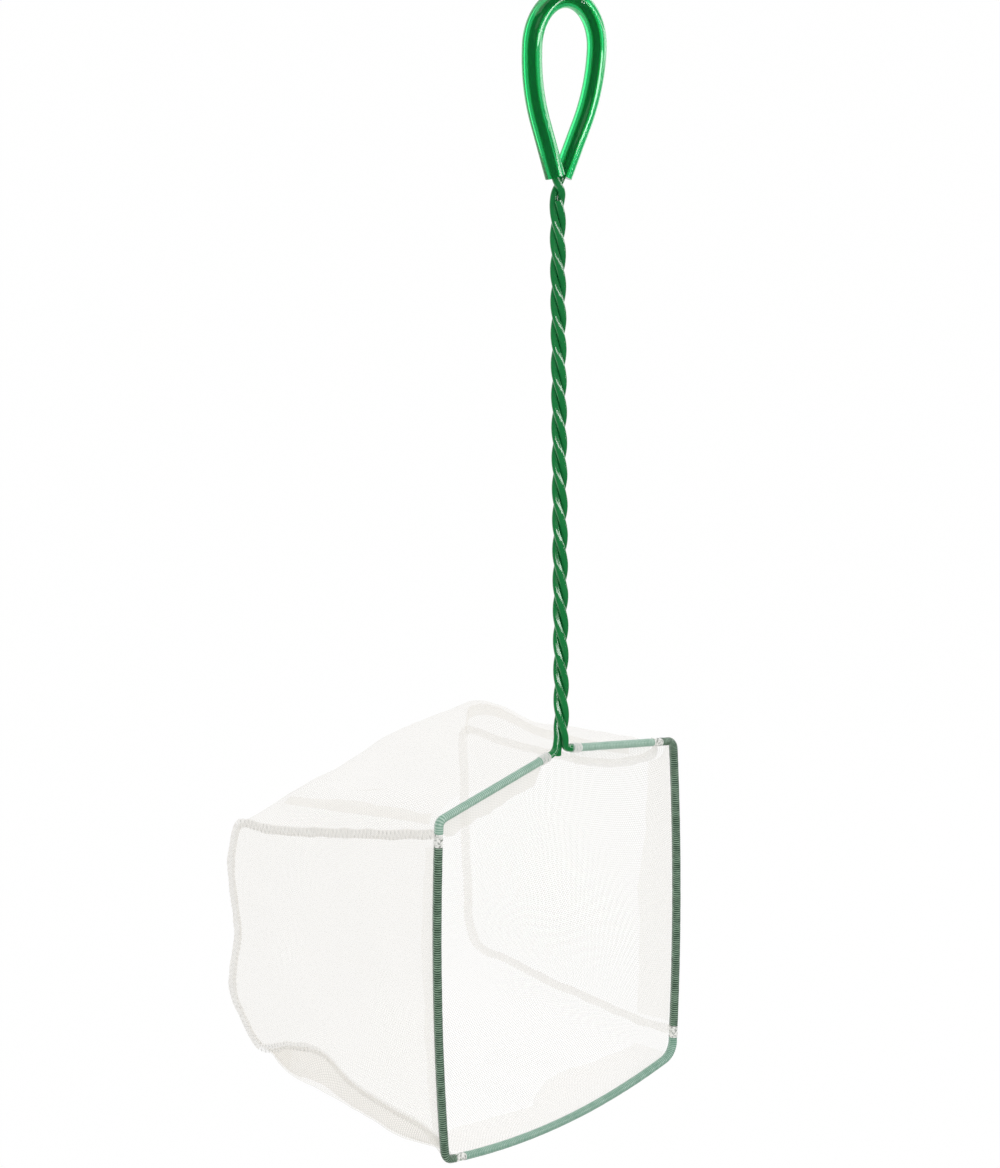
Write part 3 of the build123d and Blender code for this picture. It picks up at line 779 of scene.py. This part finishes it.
for name, (line, outward, finish) in seam_parts.items():
    length = np.linalg.norm(np.diff(line, axis=0), axis=1).sum()
    line = evenly(line, int(length / SEAM_STEP))
    way = np.gradient(line, axis=0)
    way /= np.linalg.norm(way, axis=1)[:, None]
    out = np.array(outward) - (way @ np.array(outward))[:, None] * way
    out /= np.linalg.norm(out, axis=1)[:, None]
    over = np.cross(way, out)
    seed = len(name)
    rows, zigzag = [], []
    for k, (p, w, o) in enumerate(zip(line, over, out)):
        s = k * SEAM_STEP
        wander = 0.5 * wobble(s / 9, seed, 2.0)
        half = SEAM_WIDTH / 2 + 0.35 * wobble(s / 6, seed, 7.0) + 0.12 * math.cos(math.pi * s)
        row = []
        for t in (-1, -0.6, 0, 0.6, 1):
            lift = 0.35 + 0.35 * (1 - t * t) + 0.2 * wobble(s / 3, t, seed)
            row.append(p + w * (half * t + wander) + o * lift)
        rows.append(row)
        if k % 2 == 0:
            edge = 1 if k % 4 else -1
            zigzag.append(p + w * (half * 0.92 * edge + wander) + o * 0.75)
    band = grid_object(name + "_band", rows, np.linspace(0, SEAM_WIDTH, 5), np.arange(len(rows)) * SEAM_STEP)
    band.data.materials.append(finish)
    stitches = thread_object(name + "_stitches", zigzag, STITCH)
    for piece in (band, stitches):
        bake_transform(piece)
    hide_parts(name)

# Raw edges and folds: behind the hems the cut edge of the bag hangs from the top bars and lies on
# the gussets and the bottom, unevenly deep. Where the strip turns over the sides it lies double,
# in pleats along the top, turned up at the lower left, and creased above the rear right seam.


def hanging_edge(start, stop, hang):
    """A raw edge that hangs behind the hoop between two runs, by an uneven drop that is less at its ends."""
    edge = evenly(hoop_edge(start, stop, 2.4), int((stop - start) / 0.8))
    rows = []
    for k, p in enumerate(edge):
        drop = hang + 1.2 * wobble(k / 9, start, 1.0) + 0.5 * wobble(k / 2.5, start, 4.0)
        drop *= min(1.0, 0.45 + k / 6, 0.45 + (len(edge) - 1 - k) / 6)
        wave = 0.7 * wobble(k / 7, start, 9.0)
        rows.append([p + np.array([0, (0.8 + wave) * t, -drop * t - 1.0]) for t in np.linspace(0, 1, 9)])
    return rows


def laid_on(sheet, depths, inward, seed, ragged, starts=None):
    """Cloth laid on the inside of a sheet from its first column, or from a distance given for each row.

    Its depths are spread evenly over the sheet's rows, and ragged is how uneven they are, in mm.
    """
    rows = []
    for k, row in enumerate(sheet):
        run = np.concatenate([[0], np.cumsum(np.linalg.norm(np.diff(row, axis=0), axis=1))])
        depth = np.interp(k / (len(sheet) - 1), np.linspace(0, 1, len(depths)), depths)
        depth += ragged * (wobble(k / 10, seed, 0.5) + 0.3 * wobble(k / 2.5, seed, 3.0))
        first = 0.5 if starts is None else starts[k]
        at = np.linspace(first, first + max(depth, 0.8), 12)
        spots = np.stack([np.interp(at, run, row[:, i]) for i in range(3)], 1)
        rows.append([p + np.array(inward) * (0.45 + 0.5 * t) for p, t in zip(spots, np.linspace(0, 1, 12))])
    return rows


doubled_mesh = mesh_material("white_nylon_mesh_doubled", 0.34, 0.5)
gathered_mesh = mesh_material("white_nylon_mesh_gathered", 0.5, 0.64)
left_turn = np.linalg.norm(left_fold_line - left_seam_line, axis=1)
right_turn = np.linalg.norm(right_fold_line - right_seam_line, axis=1)
bottom_columns = strip_rows[::-1].transpose(1, 0, 2)[8:-8]
right_to_left = strip_rows[20:turn, ::-1]
flap_parts = {
    "top_left_allowance": (gathered_mesh, hanging_edge(bar_runs[0][0] + 2.5, bar_runs[0][1] - 1, 9.2)),
    "top_right_allowance": (bag_mesh, hanging_edge(bar_runs[4][0] + 6, bar_runs[4][1] - 4, 6.0)),
    "right_allowance": (bag_mesh, laid_on(gusset_rows["right"][6:-3], (19, 17, 14), (-1, 0, 0), 5, 1.0)),
    "left_allowance": (bag_mesh, laid_on(gusset_rows["left"][4:-6], (5, 5), (1, 0, 0), 6, 1.0)),
    "bottom_allowance": (
        bag_mesh,
        laid_on(bottom_columns, (22, 20, 19, 14, 24, 20, 13), (0, 0, 1), 8, 2.0),
    ),
    "top_left_fold": (
        doubled_mesh,
        laid_on(strip_rows[3 : turn - 14], (4.5, 4.5), (0.5, 0, -0.8), 11, 1.6, left_turn[3:] - 2.5),
    ),
    "bottom_left_fold": (
        gathered_mesh,
        laid_on(strip_rows[low + 2 : -6], (14, 13, 12), (1, 0, 0.3), 12, 2.0),
    ),
    "right_fold_pleat": (
        doubled_mesh,
        laid_on(right_to_left, (3.5, 4.5, 5), (-0.6, 0, -0.5), 13, 1.0, right_turn[20:] - 4.2),
    ),
    "rear_right_crease": (
        doubled_mesh,
        strip_rows[turn - 1 : turn + 2, -8:] + np.array((-0.4, -0.4, 0)),
    ),
}
flaps = {}
for name, (finish, rows) in flap_parts.items():
    down, over = cloth_lengths(rows)
    flap = grid_object(name, rows, over, down)
    flap.data.materials.append(finish)
    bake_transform(flap)
    flaps[name] = flap

# The hems and raw edges that go with the centre strip, gathered in one list
strip_edges = [hems[name] for name in ("hem_top_left", "hem_top_right", "hem_bottom")]
strip_edges += [flaps[name] for name in flaps if name not in ("left_allowance", "right_allowance")]

# Camera, at the height and side from which the net was seen, with a long lens. Its place is given
# in mm to the right, up and back from the point midway between the hoop's upper corners.
IMAGE_HEIGHT, FOCAL_PIXELS, SENSOR = 1168, 2750, 36
AZIMUTH, ELEVATION, ROLL = (math.radians(angle) for angle in (46.813, 13.451, -0.704))
CAMERA_RIGHT, CAMERA_UP, CAMERA_BACK = -22.362, 70.699, 996.54
back = Vector(
    (
        -math.sin(AZIMUTH) * math.cos(ELEVATION),
        -math.cos(AZIMUTH) * math.cos(ELEVATION),
        math.sin(ELEVATION),
    )
)
level = Vector((math.cos(AZIMUTH), -math.sin(AZIMUTH), 0))
right = level * math.cos(ROLL) + back.cross(level) * math.sin(ROLL)
up = back.cross(right)
bpy.ops.object.camera_add()
camera = bpy.context.object
camera.data.sensor_width = SENSOR
camera.data.lens = SENSOR * FOCAL_PIXELS / IMAGE_HEIGHT
camera_place = right * CAMERA_RIGHT + up * CAMERA_UP + back * CAMERA_BACK + Vector((0, 0, UPPER))
camera.location = camera_place * MM
camera.rotation_euler = Matrix((right, up, back)).transposed().to_euler()
camera.data.clip_start, camera.data.clip_end = 0.05, 100
bpy.context.scene.camera = camera

# Studio lamps: one soft lamp from the right and one from the front light the net. The bands and the
# strip are seen in gloss only and draw the streaks on the stem. The grip tube is kept out of the
# two bands behind the camera, which would lie on it as square patches.
kept_off = bpy.data.collections.new("kept_off_the_bands")
kept_off.objects.link(nodes["grip_tube"])
kept_off.collection_objects[0].light_linking.link_state = "EXCLUDE"
LAMP_AIM = Vector((0, 0, -0.22))
for name, place, width, height, power, only_gloss in (
    ("right_softbox", (1.15, 0.10, -0.05), 0.45, 0.85, 2.2, False),
    ("front_band", (-1.10, -0.98, 0.08), 0.95, 0.18, 6.5, True),
    ("middle_band", (-0.27, -1.44, 0.08), 0.95, 0.18, 6.5, True),
    ("right_band", (0.70, -1.29, 0.06), 0.95, 0.18, 6.5, True),
    ("far_right_band", (1.33, -0.62, -0.04), 0.95, 0.18, 2.5, True),
    ("right_strip", (0.86, -0.92, -0.35), 0.02, 0.5, 0.7, True),
    ("front_softbox", (-0.5, -1.5, 0.7), 1.0, 1.0, 2.0, False),
):
    bpy.ops.object.light_add(type="AREA", location=place)
    lamp = bpy.context.object
    lamp.name = name
    lamp.data.shape = "RECTANGLE"
    lamp.data.size = width
    lamp.data.size_y = height
    lamp.data.energy = power
    lamp.visible_diffuse = lamp.visible_transmission = not only_gloss
    lamp.rotation_euler = (Vector(place) - LAMP_AIM).to_track_quat("Z", "Y").to_euler()
    if name in ("front_band", "middle_band"):
        lamp.light_linking.receiver_collection = kept_off


# Floor and surround: white paper and an even white all round, which the camera, gloss and clear
# vinyl see as almost plain white.
def white_to_the_eye(owner, shader, share):
    """A share of plain white for rays from the camera, gloss and clear vinyl, and the shader for the rest."""
    path = add(owner, "ShaderNodeLightPath")
    seen = path.outputs["Is Camera Ray"]
    for kind in ("Is Glossy Ray", "Is Transmission Ray"):
        either = add(owner, "ShaderNodeMath", links={0: seen, 1: path.outputs[kind]}, operation="MAXIMUM")
        seen = either.outputs[0]
    part = add(owner, "ShaderNodeMath", {1: share}, {0: seen}, operation="MULTIPLY")
    white = add(owner, "ShaderNodeEmission", {"Color": (1, 1, 1, 1), "Strength": 1.0})
    return add(
        owner,
        "ShaderNodeMixShader",
        links={0: part.outputs[0], 1: shader.outputs[0], 2: white.outputs[0]},
    )


FLOOR_HEIGHT = -0.62
bpy.ops.mesh.primitive_plane_add(size=80, location=(0, 0, FLOOR_HEIGHT))
floor = bpy.context.object
floor.name = "floor"
bpy.ops.object.transform_apply(location=True, rotation=True, scale=True)
floor_paint = material("white_paper")
floor_matt = add(floor_paint, "ShaderNodeBsdfDiffuse", {"Color": linear("#e9e9e7")})
floor_mix = white_to_the_eye(floor_paint, floor_matt, 0.99)
add(floor_paint, "ShaderNodeOutputMaterial", links={"Surface": floor_mix.outputs[0]})
floor.data.materials.append(floor_paint)

studio = bpy.data.worlds.new("studio")
bpy.context.scene.world = studio
studio.use_nodes = True
studio.node_tree.nodes.clear()
surround = add(studio, "ShaderNodeBackground", {"Color": (1, 1, 1, 1), "Strength": 0.94})
studio_mix = white_to_the_eye(studio, surround, 1.0)
add(studio, "ShaderNodeOutputWorld", links={"Surface": studio_mix.outputs[0]})
bpy.context.scene.view_settings.view_transform = "Standard"

# Dark card: bent round the camera's side and laid under the net, just above the floor. It is seen
# in gloss only and keeps the vinyl's colour deep.
CARD_RADIUS, CARD_HEIGHT, CARD_GAP = 1.6, 3.0, 0.005
CARD_FROM, CARD_TO = -95, 140
card_middle = FLOOR_HEIGHT + CARD_GAP + CARD_HEIGHT / 2
bpy.ops.mesh.primitive_cylinder_add(
    vertices=64, radius=CARD_RADIUS, depth=CARD_HEIGHT, end_fill_type="TRIFAN", location=(0, 0, card_middle)
)
card = bpy.context.object
card.name = "dark_card"
bpy.ops.object.transform_apply(location=True, rotation=True, scale=True)
card_mesh = bmesh.new()
card_mesh.from_mesh(card.data)
spare = []
for face in card_mesh.faces:
    middle = face.calc_center_median()
    angle = math.degrees(math.atan2(middle.dot(right), middle.dot(back)))
    if middle.z > card_middle + 1 or not CARD_FROM < angle < CARD_TO:
        spare.append(face)
bmesh.ops.delete(card_mesh, geom=spare, context="FACES")
card_mesh.to_mesh(card.data)
card_mesh.free()
card_paint = material("dark_card")
card_matt = add(card_paint, "ShaderNodeBsdfDiffuse", {"Color": linear("#2a2d2b")})
add(card_paint, "ShaderNodeOutputMaterial", links={"Surface": card_matt.outputs[0]})
card.data.materials.append(card_paint)
card.visible_camera = card.visible_diffuse = card.visible_transmission = card.visible_shadow = False
